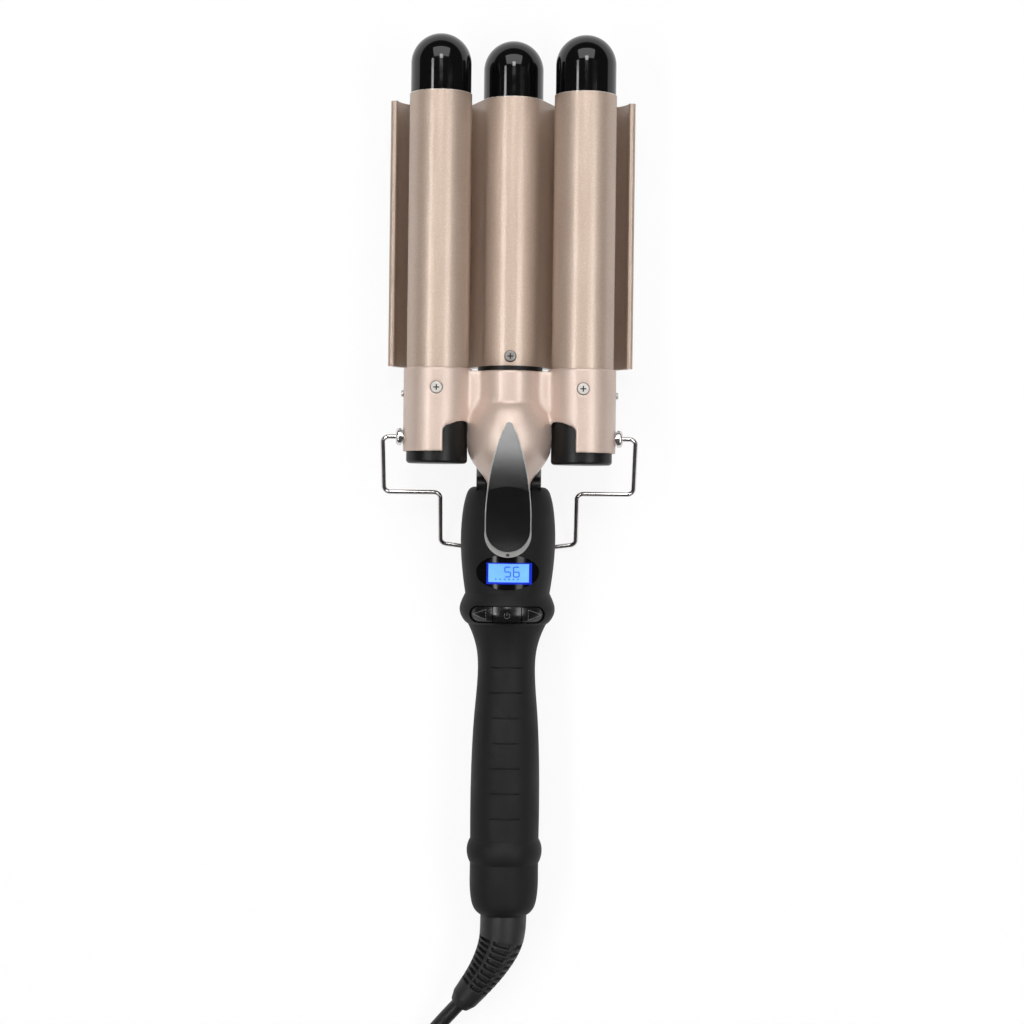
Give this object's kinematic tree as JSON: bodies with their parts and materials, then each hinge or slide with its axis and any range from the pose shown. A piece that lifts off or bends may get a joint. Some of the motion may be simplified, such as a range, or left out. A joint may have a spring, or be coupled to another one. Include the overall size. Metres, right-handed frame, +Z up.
{
  "type": "barrel hair waver",
  "caption": "Corded hair waver with heated barrels that clamp hair against a channelled plate; thumb lever, digital display, keys, fold-out wire stand and swivelling cord.",
  "frame": {"origin": "centre of the object's footprint, its free cord left aside, on the surface it lies on", "axes": "+Y along the barrels towards their tips, +Z up from the table through the front barrels, +X to the right"},
  "size_m": [0.1036, 0.5347, 0.0519],
  "materials": {
    "coated_aluminium": "satin champagne ceramic coating with a fine metallic grain",
    "tip_plastic": "polished black heat-proof plastic",
    "soft_touch": "fine matt soft-touch black",
    "champagne_paint": "satin champagne metallic paint on moulded plastic",
    "housing_plastic": "satin black",
    "key_plastic": "glossy black",
    "lever_grey": "satin grey",
    "lens": "polished smoke black window",
    "display": "blue lit liquid-crystal display",
    "diffuser": "milky light guide",
    "screw_steel": "zinc-plated",
    "bare_steel": "ground",
    "stand_chrome": "chrome-plated wire",
    "boot_rubber": "matt black",
    "cord_rubber": "satin black",
    "brass": "bare",
    "heater_ceramic": "white fired ceramic",
    "clip_aluminium": "as extruded",
    "board": "green laminate",
    "relay_case": "moulded blue",
    "capacitor_sleeve": "shrunk sleeve"
  },
  "bodies": {
    "handle": {"handle_front_shell": "soft_touch", "handle_rear_shell": "soft_touch", "tail_cap": "soft_touch", "neck_holder": "housing_plastic", "rear_plate": "coated_aluminium", "neck_screw": "screw_steel", "centre_tip_cap": "tip_plastic", "centre_heater": "heater_ceramic", "centre_heater_clip": "clip_aluminium", "hinge_pin": "bare_steel", "pin_clip": "bare_steel", "clamp_spring": "bare_steel", "display_lens": "lens", "display_module": "display", "display_backlight": "diffuser", "circuit_board": "board", "board_screws": "screw_steel", "button_switches": "key_plastic", "relay": "relay_case", "capacitor": "capacitor_sleeve", "handle_screws": "screw_steel", "ring_brushes": "brass"},
    "front_jaw": {"front_housing": "champagne_paint", "left_barrel": "coated_aluminium", "right_barrel": "coated_aluminium", "left_tip_cap": "tip_plastic", "right_tip_cap": "tip_plastic", "left_heater": "heater_ceramic", "right_heater": "heater_ceramic", "left_heater_clip": "clip_aluminium", "right_heater_clip": "clip_aluminium", "left_end_cap": "housing_plastic", "right_end_cap": "housing_plastic", "barrel_screws": "screw_steel", "side_screws": "screw_steel", "thumb_lever": "lever_grey", "lever_inlay": "soft_touch", "lever_screws": "screw_steel", "stand_bolts": "stand_chrome", "stand_washers": "stand_chrome"},
    "stand": {"stand_wire": "stand_chrome"},
    "minus_key": {"minus_button": "key_plastic"},
    "power_key": {"power_button": "key_plastic"},
    "plus_key": {"plus_button": "key_plastic"},
    "swivel": {"swivel_core": "housing_plastic", "slip_rings": "brass", "cord_boot": "boot_rubber", "power_cord": "cord_rubber", "cord_coil": "cord_rubber", "coil_tie": "boot_rubber", "power_plug": "boot_rubber", "plug_blades": "brass"}
  },
  "joints": [
    {"name": "jaw_hinge", "type": "hinge", "parent": "handle", "child": "front_jaw", "pos_m": [0, 0.01668, 0.0255], "axis": [1, 0, 0], "range_deg": [0, 18], "stiffness_Nm_per_rad": 0.6, "springref_deg": -17.19, "deforming": ["clamp_spring"]},
    {"name": "stand_pivot", "type": "hinge", "parent": "front_jaw", "child": "stand", "pos_m": [0, 0.03538, 0.0309], "axis": [1, 0, 0], "range_deg": [0, 70]},
    {"name": "minus_press", "type": "slide", "parent": "handle", "child": "minus_key", "axis": [0, 0, -1], "range_m": [0, 0.0007], "stiffness_N_per_m": 400, "springref_m": -0.002},
    {"name": "power_press", "type": "slide", "parent": "handle", "child": "power_key", "axis": [0, 0, -1], "range_m": [0, 0.0007], "stiffness_N_per_m": 400, "springref_m": -0.002},
    {"name": "plus_press", "type": "slide", "parent": "handle", "child": "plus_key", "axis": [0, 0, -1], "range_m": [0, 0.0007], "stiffness_N_per_m": 400, "springref_m": -0.002},
    {"name": "cord_swivel", "type": "hinge", "parent": "handle", "child": "swivel", "pos_m": [0, -0.15832, 0.0174], "axis": [0, 1, 0], "continuous": true}
  ]
}
